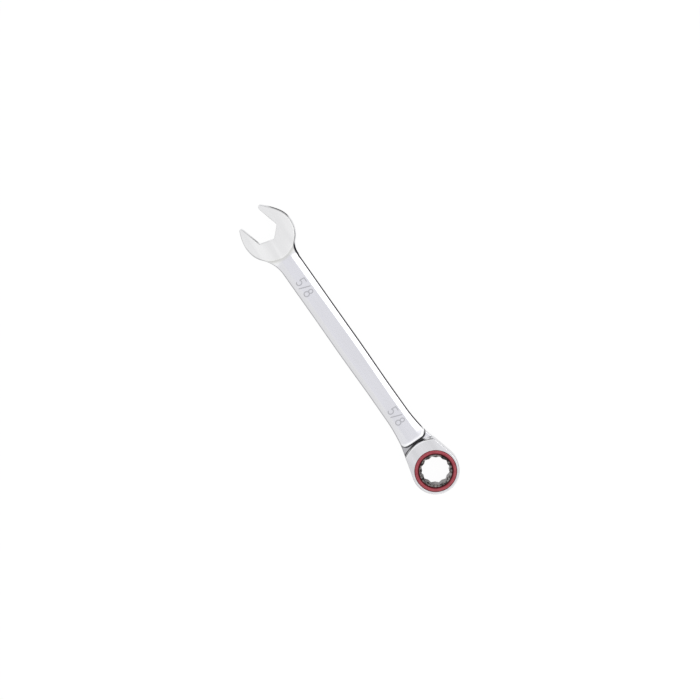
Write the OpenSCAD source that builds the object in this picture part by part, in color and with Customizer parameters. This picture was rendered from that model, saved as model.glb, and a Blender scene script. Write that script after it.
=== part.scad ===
// Ratcheting combination wrench: a one-piece forging with an angled open end,
// and a ring end that holds a 12-point ratchet gear, its pawl and its spring
// under a coloured cover ring. Millimetres. The origin is on the socket's axis,
// at the back face of the ratchet head; +X runs along the shank to the jaws.

/* [Overall] */
// Overall length, from the back of the ring to the longer jaw tip
wrench_l = 209; // [175:1:260]
// Width across the flats of the nut that both ends fit
nut_af = 15.875; // [13:0.125:20]
// How much wider the jaws are than the nut
jaw_clearance = 0.125; // [0.05:0.005:0.3]
// How much wider the socket is than the nut
socket_clearance = 0.075; // [0.03:0.005:0.3]

/* [Ratchet head] */
// Thickness of the ratchet head
head_t = 10.4; // [8.6:0.1:13]
// Steel left round the cover ring
rim_w = 1.74; // [1.4:0.02:3]
// Thickness of the back lip that the gear rests on
lip_t = 1.8; // [1.4:0.1:2.4]
// Width of the shoulder that the cover ring lands on
seat_w = 0.62; // [0.4:0.02:1.2]
// Steel between the pawl's pocket and the end of the head's face
end_wall = 2.74; // [2:0.02:4]
// Width of the valley between the head's face and the shank, on the centre line
valley_w = 1.5; // [1:0.1:3]
// Thickness of the steel under the valley
web_t = 4; // [3:0.1:6]
// Chamfer round the head's outer edges
head_chamfer = 0.6; // [0.3:0.05:1]

/* [Ratchet gear] */
// Number of teeth
teeth = 72; // [36:12:96]
// Height of a tooth
tooth_h = 0.55; // [0.4:0.05:0.8]
// Part of the pitch taken by the steep flank
steep_share = 0.3; // [0.25:0.01:0.5]
// Part of the pitch taken by the flat at a tooth's tip, and by the one at its root
land_share = 0.06; // [0.03:0.01:0.12]
// Wall between the socket's corners and the gear's journals
journal_wall = 1.1; // [0.8:0.05:2]
// Width of the shoulder between the journals and the teeth
shoulder_w = 1.4; // [1:0.1:2.4]
// How far the gear's back face lies below the head's back face
back_recess = 0.2; // [0.1:0.05:0.6]
// How far the gear's front face lies below the cover ring
front_recess = 0.4; // [0.1:0.05:0.8]
// Width of the socket's lead-in at each face
lead_in = 0.6; // [0.3:0.05:0.9]
// Slope of the lead-in, in degrees
lead_slope = 35; // [30:1:45]
// Where the socket's first corner stands, in degrees from the shank
socket_turn = 10; // [0:1:30]

/* [Pawl and spring] */
// Width of the pawl
pawl_w = 7.6; // [6:0.1:9]
// Length of the pawl behind the gear's tooth tips
pawl_l = 3.7; // [3:0.1:4.6]
// Corners cut at the pawl's back, which guide it into its pocket
pawl_corner = 0.8; // [0.4:0.1:1.2]
// How far the pawl slides back to let a tooth pass
pawl_travel = 0.7; // [0.6:0.05:1]
// Gap left behind the pawl when it is right back
stop_gap = 0.7; // [0.5:0.1:1.2]
// Outer radius of the spring
spring_r = 1.2; // [0.9:0.05:1.5]
// Thickness of the spring's wire
spring_wire = 0.4; // [0.3:0.05:0.5]
// Depth of the spring's bore in the pawl
pawl_bore_l = 2.2; // [1.5:0.1:2.4]
// Depth of the spring's seat in the end of the pocket
seat_bore_l = 0.8; // [0.4:0.1:1.2]

/* [Cover ring and clip] */
// Thickness of the cover ring
cover_t = 2.1; // [1.7:0.1:2.6]
// Chamfer on the cover ring's edges
cover_chamfer = 0.3; // [0.1:0.05:0.4]
// Radius of the retaining clip's wire
clip_wire_r = 0.35; // [0.25:0.05:0.45]
// Gap between the clip's ends, in degrees round the ring
clip_gap = 40; // [20:5:90]

/* [Shank] */
// Width of the shank between its ends
shank_w = 14.7; // [12:0.1:17]
// Width of the shank's raised end beside the ratchet head
neck_w = 18.4; // [17.8:0.1:22]
// Thickness of the shank at its central panel
shank_t = 6.6; // [5.2:0.1:8]
// Width of the flat central panel
panel_w = 7; // [5:0.1:9]
// Fall of each bevel for every millimetre away from the panel
bevel_fall = 0.28; // [0.1:0.01:0.3]
// Length over which the shank narrows behind its raised end
flare_l = 19; // [12:1:26]
// How strongly the flare is hollowed; 1 is straight
flare_hollow = 1.8; // [1:0.1:2.6]
// Corner cut on the raised end
end_corner = 1.3; // [0.8:0.1:2]

/* [Open end] */
// Thickness of the open end
open_t = 7.8; // [6.5:0.1:9]
// Angle between the jaws and the shank
jaw_angle = 15; // [0:1:22.5]
// Steel beside the nut where the open end is widest
jaw_wall = 8.35; // [6.5:0.05:11]
// How far the round heel's centre lies behind the nut's centre
heel_back = 5; // [3:0.1:6.5]
// How far the heel's centre lies to the side of the shank's axis
heel_side = 0.5; // [0:0.1:2]
// Where the jaws leave the round heel, in degrees from their axis
jaw_start = 72; // [66:1:84]
// How far the longer jaw's tip reaches past the nut's centre
jaw_reach = 10.9; // [9.5:0.1:13]
// Radius of the longer jaw's outer curve
jaw_curve_r = 40; // [32:1:60]
// Radius of the longer jaw's tip
tip_r = 1.3; // [0.8:0.1:1.8]
// How far the shorter jaw's tip reaches past the nut's centre
short_reach = 10.2; // [9:0.1:12.3]
// Radius of the shorter jaw's outer curve
short_curve_r = 28; // [23:1:40]
// Radius of the shorter jaw's tip
short_tip_r = 1; // [0.8:0.1:1.8]
// How far outside the jaws' flats their tips' roundings start
tip_set = 0.2; // [0:0.05:0.4]
// Radius at the bottom of the throat
throat_r = 1.5; // [0.5:0.1:3]
// Radius of the neck on the side that the jaws lean to
lean_fillet = 21; // [14:1:30]
// Radius of the neck on the other side
heel_fillet = 10; // [7:1:20]

/* [Fits] */
// Radial clearance of the gear's journals
running_clearance = 0.06; // [0.02:0.01:0.1]
// Clearance at the gear's and the pawl's flat faces
side_clearance = 0.1; // [0.05:0.01:0.2]
// Clearance between the gear's tooth tips and the head
tip_clearance = 0.1; // [0.05:0.01:0.2]
// Clearance between the pawl's teeth and the gear's
mesh_clearance = 0.05; // [0.02:0.01:0.08]
// Clearance on each side of the pawl
pawl_clearance = 0.05; // [0.03:0.01:0.1]
// Clearance round the spring in its bores
spring_clearance = 0.1; // [0.05:0.01:0.2]
// Radial clearance of the cover ring in the head
cover_clearance = 0.03; // [0.02:0.01:0.08]
// Clearance round the clip's wire in its groove
clip_clearance = 0.04; // [0.02:0.01:0.08]

/* [Hidden] */
$fn = 96;
past = 1; // how far a cutter runs past the face that it cuts
sink = 0.05; // how far one solid runs into the next, so that they join

z_mid = head_t / 2;
z_shelf = head_t - cover_t; // the shoulder under the cover ring
z_clip = head_t - cover_t / 2;

socket_corner_r = (nut_af + socket_clearance) / 2 / cos(30);
journal_r = socket_corner_r + journal_wall;
lip_bore_r = journal_r + running_clearance;
tooth_root_r = journal_r + shoulder_w;
tooth_tip_r = tooth_root_r + tooth_h;
cavity_r = tooth_tip_r + tip_clearance;
cover_r = cavity_r + seat_w;
recess_r = cover_r + cover_clearance;
head_r = recess_r + rim_w;

pitch = 360 / teeth;
gear_h = head_t - back_recess - front_recess;
band_z = lip_t + side_clearance;
band_t = z_shelf - lip_t - 2 * side_clearance; // the toothed band, and the pawl

pawl_back = tooth_tip_r + pawl_l;
spring_gap = pawl_travel + stop_gap; // the spring's bare length while the pawl is in mesh
pocket_end = pawl_back + spring_gap;
pocket_w = pawl_w + 2 * pawl_clearance;
face_r = pocket_end + end_wall;
shank_x = face_r + valley_w; // the shank's raised end
neck_x = shank_x + end_corner;

jaw_w = nut_af + jaw_clearance;
nut_corner = jaw_w / 2 / cos(30);
heel_r = jaw_w / 2 + jaw_wall;
long_tip = tip_centre(jaw_reach, tip_r);
nut_x = wrench_l - head_r - tip_r - long_tip[0] * cos(jaw_angle) - long_tip[1] * sin(jaw_angle);
heel = [nut_x - heel_back * cos(jaw_angle), heel_side];
neck_end = nut_x - nut_corner - past; // where the shank ends inside the heel, behind the throat

// Centre of a jaw tip's rounding, in the jaws' own frame
function tip_centre(reach, r) = [reach - r, jaw_w / 2 + r + tip_set];

// Points along an arc
function arc(centre, r, from, to, steps = 12) =
    [for (i = [0 : steps]) let (t = from + (to - from) * i / steps) centre + r * [cos(t), sin(t)]];

// The same points on the other side of the axis, in the opposite order
function other_side(points) = [for (i = [len(points) - 1 : -1 : 0]) [points[i][0], -points[i][1]]];

// One point at a radius and an angle
function polar(r, a) = r * [cos(a), sin(a)];

// Outline of the one-way teeth: a steep flank, a land, a gentle flank and a root
function tooth_outline(root_r, tip_r) = [
    for (i = [0 : teeth - 1], k = [0 : 3])
        polar(k == 1 || k == 2 ? tip_r : root_r,
              pitch * (i + [0, steep_share, steep_share + land_share, 1 - land_share][k] - 0.5))
];

// The head seen from the front: a round ring drawn out towards the shank
module head_plan() {
    reach = norm([neck_x, neck_w / 2]);
    touch = atan2(neck_w / 2, neck_x) + acos(head_r / reach); // where the straight side leaves the ring
    side = [polar(head_r - sink, touch), [neck_x, neck_w / 2]];
    circle(r = head_r);
    polygon(concat(side, other_side(side)));
}

// The head's thick part, up to the arc where its face ends
module head_block() {
    intersection() {
        linear_extrude(head_t) head_plan();
        rotate_extrude() polygon([
            [0, 0], [face_r - head_chamfer, 0], [face_r, head_chamfer],
            [face_r, head_t - head_chamfer], [face_r - head_chamfer, head_t], [0, head_t]
        ]);
    }
}

// The steel under the valley, between the head and the shank
module valley_web() {
    translate([0, 0, z_mid - web_t / 2]) linear_extrude(web_t) intersection() {
        head_plan();
        translate([pocket_end, -neck_w]) square([neck_x - pocket_end, 2 * neck_w]);
    }
}

// One side of the shank seen from the front: its flare, its straight and the neck's fillet
function shank_side(fillet, side) = let (
    half = shank_w / 2,
    down = half + fillet - side * heel[1],
    along = sqrt(pow(heel_r - sink + fillet, 2) - down * down),
    centre = [heel[0] - along, half + fillet]
) concat(
    [[shank_x, neck_w / 2 - end_corner]],
    [for (t = [0 : 0.125 : 1])
        [neck_x + flare_l * t, half + (neck_w / 2 - half) * pow(1 - t, flare_hollow)]],
    arc(centre, fillet, -90, -atan2(down, along), 8),
    [[neck_end, heel_r / 3]]
);

module shank_plan() {
    polygon(concat(shank_side(lean_fillet, 1), other_side(shank_side(heel_fillet, -1))));
}

// Across the shank: a flat panel with a bevel on each side
module shank_section() {
    outer = neck_w / 2;
    edge = shank_t / 2 - bevel_fall * (outer - panel_w / 2);
    side = [[panel_w / 2, shank_t / 2], [outer, edge], [2 * heel_r, edge]];
    polygon(concat(
        side, other_side(side), [for (p = side) -p], [for (i = [2 : -1 : 0]) [-side[i][0], side[i][1]]]
    ));
}

module shank() {
    translate([0, 0, z_mid]) intersection() {
        translate([0, 0, -shank_t]) linear_extrude(2 * shank_t) shank_plan();
        rotate([90, 0, 90]) linear_extrude(wrench_l) shank_section();
    }
}

// One jaw in the jaws' own frame: outer curve, tip, flat and half of the throat
function jaw_side(reach, r, curve_r) = let (
    tip = tip_centre(reach, r),
    drop = heel_r - curve_r,
    centre = [-heel_back, 0] + drop * [cos(jaw_start), sin(jaw_start)],
    last = acos((tip[0] - r / 2 - centre[0]) / curve_r),
    step = (last - jaw_start) / 6,
    throat = -nut_corner + throat_r / cos(30) // centre of the throat's rounding
) concat(
    arc([-heel_back, 0], heel_r, 180, jaw_start, 18),
    arc(centre, curve_r, jaw_start + step, last, 5),
    arc(tip, r, 60, -60, 8),
    [[tip[0] - r / 2, jaw_w / 2], [-nut_corner / 2, jaw_w / 2]],
    arc([throat, 0], throat_r, 150, 180, 3)
);

module open_end() {
    short = jaw_side(short_reach, short_tip_r, short_curve_r);
    long = jaw_side(jaw_reach, tip_r, jaw_curve_r);
    // The heel's first point and the throat's last one lie on the axis, so each is there once
    back = [for (i = [len(long) - 2 : -1 : 1]) [long[i][0], -long[i][1]]];
    translate([heel[0], heel[1], z_mid - open_t / 2]) rotate(jaw_angle)
        translate([heel_back, 0]) linear_extrude(open_t) polygon(concat(short, back));
}

// The stepped hole for the gear, the cover ring and the clip's groove
module head_bore() {
    groove_r = recess_r + clip_wire_r + clip_clearance;
    groove_h = clip_wire_r + clip_clearance;
    rotate_extrude() polygon([
        [0, -past], [lip_bore_r, -past], [lip_bore_r, lip_t], [cavity_r, lip_t],
        [cavity_r, z_shelf], [recess_r, z_shelf], [recess_r, z_clip - groove_h],
        [groove_r, z_clip - groove_h], [groove_r, z_clip + groove_h],
        [recess_r, z_clip + groove_h], [recess_r, head_t + past], [0, head_t + past]
    ]);
}

// The pocket that the pawl slides in, with the spring's seat in its end
module pawl_pocket() {
    translate([journal_r, -pocket_w / 2, lip_t])
        cube([pocket_end - journal_r, pocket_w, z_shelf - lip_t]);
    translate([journal_r, 0, lip_t + (z_shelf - lip_t) / 2]) rotate([0, 90, 0])
        cylinder(r = spring_r + spring_clearance, h = pocket_end + seat_bore_l - journal_r);
}

module wrench_body() {
    color("silver") difference() {
        union() {
            head_block();
            valley_web();
            shank();
            open_end();
        }
        head_bore();
        pawl_pocket();
    }
}

// A 12-point hole: two hexagons, half a corner apart
module twelve_point(h) {
    for (turn = [0, 30])
        rotate(socket_turn + turn) cylinder(r = socket_corner_r, h = h, $fn = 6);
}

module ratchet_gear() {
    wide_r = socket_corner_r + lead_in;
    inner_r = socket_corner_r * cos(30) - sink;
    rise = (wide_r - inner_r) * tan(lead_slope);
    color("dimgray") translate([0, 0, back_recess]) difference() {
        union() {
            cylinder(r = journal_r, h = gear_h);
            translate([0, 0, band_z - back_recess]) linear_extrude(band_t)
                polygon(tooth_outline(tooth_root_r, tooth_tip_r));
        }
        translate([0, 0, -past]) twelve_point(gear_h + 2 * past);
        cylinder(r1 = wide_r, r2 = inner_r, h = rise);
        translate([0, 0, gear_h - rise]) cylinder(r1 = inner_r, r2 = wide_r, h = rise);
    }
}

module pawl() {
    front = sqrt(tooth_root_r * tooth_root_r - pawl_w * pawl_w / 4);
    color("gray") translate([0, 0, band_z]) difference() {
        linear_extrude(band_t) difference() {
            polygon([
                [front, -pawl_w / 2], [pawl_back - pawl_corner, -pawl_w / 2],
                [pawl_back, -pawl_w / 2 + pawl_corner], [pawl_back, pawl_w / 2 - pawl_corner],
                [pawl_back - pawl_corner, pawl_w / 2], [front, pawl_w / 2]
            ]);
            polygon(tooth_outline(tooth_root_r + mesh_clearance, tooth_tip_r + mesh_clearance));
        }
        translate([pawl_back - pawl_bore_l, 0, band_t / 2]) rotate([0, 90, 0])
            cylinder(r = spring_r + spring_clearance, h = pawl_bore_l + past);
    }
}

// The coil spring's outer shape, as a tube
module pawl_spring() {
    length = pawl_bore_l + spring_gap + seat_bore_l;
    color("lightsteelblue") translate([pawl_back - pawl_bore_l, 0, lip_t + (z_shelf - lip_t) / 2])
        rotate([0, 90, 0]) difference() {
            cylinder(r = spring_r, h = length);
            translate([0, 0, -past]) cylinder(r = spring_r - spring_wire, h = length + 2 * past);
        }
}

module cover_ring() {
    inner_r = journal_r + running_clearance;
    groove_r = cover_r - clip_wire_r - clip_clearance;
    groove_h = clip_wire_r + clip_clearance;
    color("firebrick") rotate_extrude() polygon([
        [inner_r, z_shelf], [cover_r, z_shelf], [cover_r, z_clip - groove_h],
        [groove_r, z_clip - groove_h], [groove_r, z_clip + groove_h], [cover_r, z_clip + groove_h],
        [cover_r, head_t - cover_chamfer], [cover_r - cover_chamfer, head_t],
        [inner_r + cover_chamfer, head_t], [inner_r, head_t - cover_chamfer]
    ]);
}

module retaining_clip() {
    color("slategray") translate([0, 0, z_clip]) rotate(180 + clip_gap / 2)
        rotate_extrude(angle = 360 - clip_gap)
            translate([(recess_r + cover_r) / 2, 0]) circle(r = clip_wire_r);
}

wrench_body();
ratchet_gear();
pawl();
pawl_spring();
cover_ring();
retaining_clip();
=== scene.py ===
import math

import bpy
import numpy as np
from mathutils import Matrix, Vector
from mathutils.geometry import delaunay_2d_cdt


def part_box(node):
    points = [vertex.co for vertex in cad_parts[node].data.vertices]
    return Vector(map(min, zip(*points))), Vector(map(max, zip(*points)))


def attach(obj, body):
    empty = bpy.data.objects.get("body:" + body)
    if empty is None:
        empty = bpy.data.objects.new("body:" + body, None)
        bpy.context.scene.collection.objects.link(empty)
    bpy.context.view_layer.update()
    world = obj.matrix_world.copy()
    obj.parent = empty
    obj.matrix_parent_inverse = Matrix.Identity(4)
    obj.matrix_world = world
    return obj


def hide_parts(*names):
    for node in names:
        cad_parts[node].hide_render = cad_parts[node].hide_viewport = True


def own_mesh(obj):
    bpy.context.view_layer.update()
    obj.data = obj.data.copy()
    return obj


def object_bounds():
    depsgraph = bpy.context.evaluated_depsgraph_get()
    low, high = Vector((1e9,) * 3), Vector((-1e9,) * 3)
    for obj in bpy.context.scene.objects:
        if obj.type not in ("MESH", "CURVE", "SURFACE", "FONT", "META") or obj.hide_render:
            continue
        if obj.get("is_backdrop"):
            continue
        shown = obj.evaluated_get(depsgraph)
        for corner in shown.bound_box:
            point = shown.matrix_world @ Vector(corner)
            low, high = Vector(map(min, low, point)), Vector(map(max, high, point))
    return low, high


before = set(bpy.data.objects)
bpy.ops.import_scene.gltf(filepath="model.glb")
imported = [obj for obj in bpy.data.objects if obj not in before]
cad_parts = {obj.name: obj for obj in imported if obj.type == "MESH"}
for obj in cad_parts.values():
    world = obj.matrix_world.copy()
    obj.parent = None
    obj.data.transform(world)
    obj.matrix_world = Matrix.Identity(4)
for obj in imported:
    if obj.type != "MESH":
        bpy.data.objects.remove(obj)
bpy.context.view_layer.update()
MM = 0.001

# ---- Camera --------------------------------------------------------------------------------
# A long lens above the bench, leaning a little over the jaws. The ring end is at the lower
# right of the view and the jaws at the upper left.
body_low, body_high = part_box("wrench_body")
shank_turn = math.radians(124.89)  # from the view's right-hand side round to the shank
lean = math.radians(8)
view_width = 0.4256  # how much of the bench the view takes in

across = Vector((math.cos(shank_turn), -math.sin(shank_turn), 0))
upward = Vector((math.sin(shank_turn), math.cos(shank_turn), 0))
back = Vector((0, 0, 1)) * math.cos(lean) + upward * math.sin(lean)
aim = Vector(((body_low.x + body_high.x) / 2 + 0.0009, 0.00064, (body_low.z + body_high.z) / 2))

lens = bpy.data.cameras.new("long_lens")
lens.lens = 100
lens.sensor_width = 36
lens.clip_start = 0.01
camera = bpy.data.objects.new("camera", lens)
camera.matrix_world = Matrix.Translation(
    aim + back * view_width * lens.lens / lens.sensor_width
) @ Matrix((across, back.cross(across), back)).transposed().to_4x4()
bpy.context.scene.collection.objects.link(camera)
bpy.context.scene.camera = camera

# ---- Forged body ---------------------------------------------------------------------------
# One steel drop forging: ring head, bevelled shank and angled jaws. The flat faces of both
# heads are ground to a satin, everything else is polished, and the whole is chrome plated.
z_mid = (body_low.z + body_high.z) / 2 / MM
head_half = (body_high.z - body_low.z) / 2 / MM
head_r = -body_low.x / MM
cover_low, cover_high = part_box("cover_ring")
pawl_low, pawl_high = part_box("pawl")
spring_low, spring_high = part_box("pawl_spring")
gear_low, gear_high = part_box("ratchet_gear")
spring_room = 1.4  # the spring's bare length behind the pawl
pocket_wall = 2.74
running_gap = 0.06  # round the gear's journals
tooth_gap = 0.1  # over the gear's teeth, and above and below them
recess_r = cover_high.x / MM + 0.03
shelf_z = cover_low.z / MM
lip_z = pawl_low.z / MM - tooth_gap
cavity_r = gear_high.x / MM + tooth_gap
journal_r = cavity_r - 2.05
lip_bore_r = journal_r + running_gap
clip_z = (cover_low.z + cover_high.z) / 2 / MM
clip_groove_r = 0.39
pocket_end = pawl_high.x / MM + spring_room
face_r = pocket_end + pocket_wall  # where the ratchet head's face ends
shank_x = face_r + 1.25  # where the shank's raised end begins
end_flat = 4.9  # half the straight part of that end, before its rounded corners
end_corner_r = 4.0
end_corner_reach = 3.9
neck = np.array([face_r + 2.8, 9.2])  # its corner
flare_length = 19.0
shank_half = 7.35
open_half = 3.9
valley_half = 2.0
panel_half = 3.3
edge_half = 2.2

jaw_tilt = math.radians(15)
jaw_half = 8.0
heel_r = 16.35
heel_back = 5.0
tip_r = 1.3
tip = np.array([9.6, 9.5])
upper_tip_r = 1.0  # the upper jaw ends in a finer tip
upper_tip = np.array([9.2, 9.2])
jaw_start = math.radians(72)
nut_x = body_high.x / MM - tip_r - tip[0] * math.cos(jaw_tilt) - tip[1] * math.sin(jaw_tilt)
heel = np.array([nut_x - heel_back * math.cos(jaw_tilt), 0.5])


def arc(centre, radius, start, end, step=0.5):
    """Points along an arc, from angle start to angle end, about a step apart."""
    count = max(3, math.ceil(abs(radius * (end - start)) / step) + 1)
    turn = np.linspace(start, end, count)
    return np.array(centre) + radius * np.column_stack((np.cos(turn), np.sin(turn)))


def line(start, end, step=0.5):
    """Points along a straight line, about a step apart, without its ends."""
    start, end = np.array(start, float), np.array(end, float)
    count = max(2, math.ceil(np.linalg.norm(end - start) / step) + 1)
    return (start + (end - start) * np.linspace(0, 1, count)[:, None])[1:-1]


def from_jaws(points):
    """From the jaws' own frame, along and across the opening, to the wrench's."""
    turn = np.array(
        [[math.cos(jaw_tilt), math.sin(jaw_tilt)], [-math.sin(jaw_tilt), math.cos(jaw_tilt)]]
    )
    return (np.array(points) + [heel_back, 0]) @ turn + heel


def other_side(points):
    """The same points on the other side of the axis, in the opposite order."""
    return np.array(points)[::-1] * [1, -1]


def shank_width(x):
    """Half the shank's width along its length: the flare, a slight waist and a slight belly."""
    flare = np.clip((neck[0] + flare_length - x) / flare_length, 0, 1) ** 1.8
    belly = 0.12 * np.exp(-(((x - 92) / 16) ** 2)) - 0.12 * np.exp(-(((x - 62) / 13) ** 2))
    return shank_half + (neck[1] - shank_half) * flare + belly


def neck_fillet(half, radius, side):
    """Where a neck's fillet has its centre, and the angle at which it meets the round heel."""
    down = half + radius - side * heel[1]
    along = math.sqrt((heel_r + radius) ** 2 - down**2)
    return np.array([heel[0] - along, half + radius]), math.atan2(down, along)


def jaw_outline(tip, tip_r):
    """A jaw, drawn on the lower side, from the heel round its tip to the bottom of the throat."""
    nut_corner = jaw_half / math.cos(math.radians(30))
    start = np.array([math.cos(jaw_start), math.sin(jaw_start)])
    reach = tip + [heel_back, 0] - heel_r * start
    # the one arc that leaves the heel's circle smoothly and meets the tip's
    curve_r = (tip_r**2 - reach @ reach) / (2 * (reach @ start + tip_r))
    centre = (heel_r - curve_r) * start - [heel_back, 0]
    last = math.atan2(*(tip - centre)[::-1])
    corner_r, throat_r = 0.5, 1.5
    corner = np.array([-nut_corner / 2, -jaw_half]) + corner_r * np.array([math.tan(math.pi / 6), 1])
    throat = np.array([-nut_corner + throat_r / math.cos(math.pi / 6), 0])
    corner_arc = arc(corner, corner_r, math.radians(-90), math.radians(-150), 0.1)
    throat_arc = arc(throat, throat_r, math.radians(-150), math.radians(-180), 0.15)
    face_end = [tip[0] - 1.0, -jaw_half]
    curve = arc(centre * [1, -1], curve_r, -jaw_start, -last)[1:]
    end = arc(tip * [1, -1], tip_r, -last, math.radians(74), 0.15)[1:]
    inside = [
        [face_end],
        line(face_end, corner_arc[0]),
        corner_arc,
        line(corner_arc[-1], throat_arc[0]),
        throat_arc,
    ]
    return [(curve, 0.6, 0.25), (end, 0.35, 0.08), (np.vstack(inside), 0.3, 0.02)]


def body_outline():
    """The forging seen from the front, anticlockwise, and its edge rounding and wall draft there."""
    reach = math.hypot(*neck)
    touch = math.atan2(neck[1], neck[0]) + math.acos(head_r / reach)
    side_start = head_r * np.array([math.cos(touch), math.sin(touch)])
    halves = {}
    for side, spread, radius, draft in ((-1, 0.35, 10.0, 0.8), (1, 0.0, 21.0, 0.3)):
        fillet, meet = neck_fillet(shank_half + spread, radius, side)
        xs = np.concatenate((np.arange(neck[0], 26.4, 0.15), np.arange(26.5, fillet[0], 0.5)))
        near_jaws = np.clip((xs - fillet[0] + 2.5) / 2, 0, 1)
        shank_draft = 0.3 + (draft - 0.3) * near_jaws
        heel_arc = arc(heel * [1, side], heel_r, math.pi - meet, jaw_start + side * jaw_tilt)
        halves[side] = [
            (line(side_start, neck, 0.2), 0.45, 0.15),
            (np.column_stack((xs, shank_width(xs) + spread * near_jaws**2)), 0.6, shank_draft),
            (arc(fillet, radius, -math.pi / 2, -meet)[:-1], 0.5, draft),
            (heel_arc, 0.85, 0.2),
        ]
    pieces = [(arc((0, 0), head_r, touch, 2 * math.pi - touch), 0.75, 0.15)]
    pieces += [(points * [1, -1], r, d) for points, r, d in halves[-1]]
    pieces += [(from_jaws(points), r, d) for points, r, d in jaw_outline(tip, tip_r)]
    upper = jaw_outline(upper_tip, upper_tip_r)[::-1]
    upper[0] = (upper[0][0][:-1], *upper[0][1:])  # the throat's bottom point is already there
    pieces += [(from_jaws(other_side(points)), r, d) for points, r, d in upper]
    pieces += [(points[::-1], r, np.flip(d)) for points, r, d in halves[1][::-1]]
    points = np.vstack([piece[0] for piece in pieces])
    eased = []
    # edge rounding and draft change gradually from one stretch to the next
    for which, ease in ((1, 3), (2, 5)):
        values = np.concatenate([np.full(len(piece[0]), piece[which]) for piece in pieces])
        values = np.concatenate((values[-ease:], values, values[:ease]))
        eased.append(np.convolve(values, np.ones(2 * ease + 1) / (2 * ease + 1), "valid"))
    return points, *eased


def merge_high(a, b, blend):
    """The higher of two surfaces, with a hollow fillet of about that size between them."""
    return np.maximum(a, b) + np.maximum(blend - np.abs(a - b), 0) ** 2 / (4 * blend)


def shoulder(past, radius, steepest):
    """How far a shoulder falls: a rounding of that radius, and then a slope of that angle."""
    turned = radius * math.sin(steepest)
    round_part = radius - np.sqrt(np.maximum(radius**2 - np.clip(past, 0, turned) ** 2, 0))
    return round_part + np.maximum(past - turned, 0) * math.tan(steepest)


def panel_edge(x):
    """Half the width of the flat panel along the shank."""
    return 3.5 + 0.5 * np.exp(-(((x - 92) / 28) ** 2)) - 0.5 * np.clip((x - 120) / 30, 0, 1)


def end_x(wide):
    """Where the shank's raised end begins, at a distance from the axis: it turns round the corners."""
    past_flat = np.clip(wide - end_flat, 0, end_corner_reach)
    return shank_x + end_corner_r - np.sqrt(end_corner_r**2 - past_flat**2)


def half_thickness(x, y):
    """Half the forging's thickness at a place, before its edges are rounded."""
    wide = np.abs(y)
    panel = panel_edge(x)
    off_panel = wide - panel
    fall = (panel_half - edge_half) / (shank_width(x) - panel)
    shank = panel_half - fall * 0.5 * (off_panel + np.sqrt(off_panel**2 + 0.35**2))
    shank = np.maximum(shank, edge_half - 0.5)
    shank = shank - shoulder(end_x(wide) + 2.2 - x, 2.4, math.radians(68))
    shank = shank - 4 * np.clip((x - 166) / 6, 0, 1)
    head = head_half - shoulder(np.hypot(x, y) - face_r + 0.8, 0.8, math.radians(74))
    heel_far = np.hypot(x - heel[0], y - heel[1])
    on_heel = heel_far - heel_r + 1.4
    jaws = open_half - np.where(x < heel[0], shoulder(on_heel, 3.0, math.radians(24)), 0)
    valley = np.where(x < 40, valley_half - 0.8 * (wide / neck[1]) ** 2, 0)
    near_head = merge_high(valley, head, 0.5)
    return merge_high(merge_high(near_head, shank, 0.35), jaws, 0.9)


outline, edge_r, draft = body_outline()


def inset(points, distance):
    """A closed anticlockwise loop, each point moved inwards by its own distance."""
    along = np.roll(points, -1, 0) - np.roll(points, 1, 0)
    along /= np.linalg.norm(along, axis=1)[:, None]
    return points + distance[:, None] * np.column_stack((-along[:, 1], along[:, 0]))


def ring(radius, z, count):
    """A level ring of points round the origin."""
    turn = 2 * math.pi * np.arange(count) / count
    return np.column_stack((radius * np.cos(turn), radius * np.sin(turn), np.full(count, z)))


def raise_to(points, z):
    """Flat points given their heights."""
    return np.column_stack((points, np.broadcast_to(z, len(points))))


def bridge(loops, first=0):
    """Points of a stack of equal loops, and the quads between each loop and the next."""
    count = len(loops[0])
    faces = []
    for level in range(len(loops) - 1):
        low = first + level * count
        for i in range(count):
            j = (i + 1) % count
            faces.append((low + i, low + j, low + count + j, low + count + i))
    return np.vstack(loops), faces


def inside(points, loop):
    """Which of the points lie inside a closed loop."""
    ahead = np.roll(loop, -1, 0)
    within = np.zeros(len(points), bool)
    for (ax, ay), (bx, by) in zip(loop, ahead):
        if ay == by:
            continue
        level = (points[:, 1] > ay) != (points[:, 1] > by)
        within ^= level & (points[:, 0] < ax + (points[:, 1] - ay) * (bx - ax) / (by - ay))
    return within


def clear_of(points, loop, gap):
    """Which of the points are further than a gap from every point of a loop."""
    near = np.full(len(points), 1e9)
    for chunk in np.array_split(loop, max(1, len(loop) // 64)):
        far = np.linalg.norm(points[:, None, :] - chunk[None, :, :], axis=2).min(axis=1)
        near = np.minimum(near, far)
    return near > gap


def fill(outer, holes, scattered):
    """Triangles between an outer loop and the loops of its holes, through scattered points."""
    loops = [outer] + holes
    edges = []
    start = 0
    for loop in loops:
        edges += [(start + i, start + (i + 1) % len(loop)) for i in range(len(loop))]
        start += len(loop)
    points = np.vstack(loops + [scattered])
    flat = [Vector(p) for p in points]
    made = delaunay_2d_cdt(flat, edges, [], 0, 1e-6)
    source = np.array([ids[0] for ids in made[3]])
    triangles = np.array([[source[i] for i in face] for face in made[2]])
    middles = points[triangles].mean(axis=1)
    keep = inside(middles, outer)
    for hole in holes:
        keep &= ~inside(middles, hole)
    return triangles[keep]


def stagger(x0, x1, y0, y1, step):
    """Points on a triangular grid."""
    rows = np.arange(y0, y1, step * 0.866)
    columns = np.arange(x0, x1, step)
    x, y = np.meshgrid(columns, rows)
    x[1::2] += step / 2
    return np.column_stack((x.ravel(), y.ravel()))


def grid(xs, ys):
    """Points on a square grid."""
    x, y = np.meshgrid(xs, ys)
    return np.column_stack((x.ravel(), y.ravel()))


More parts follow.
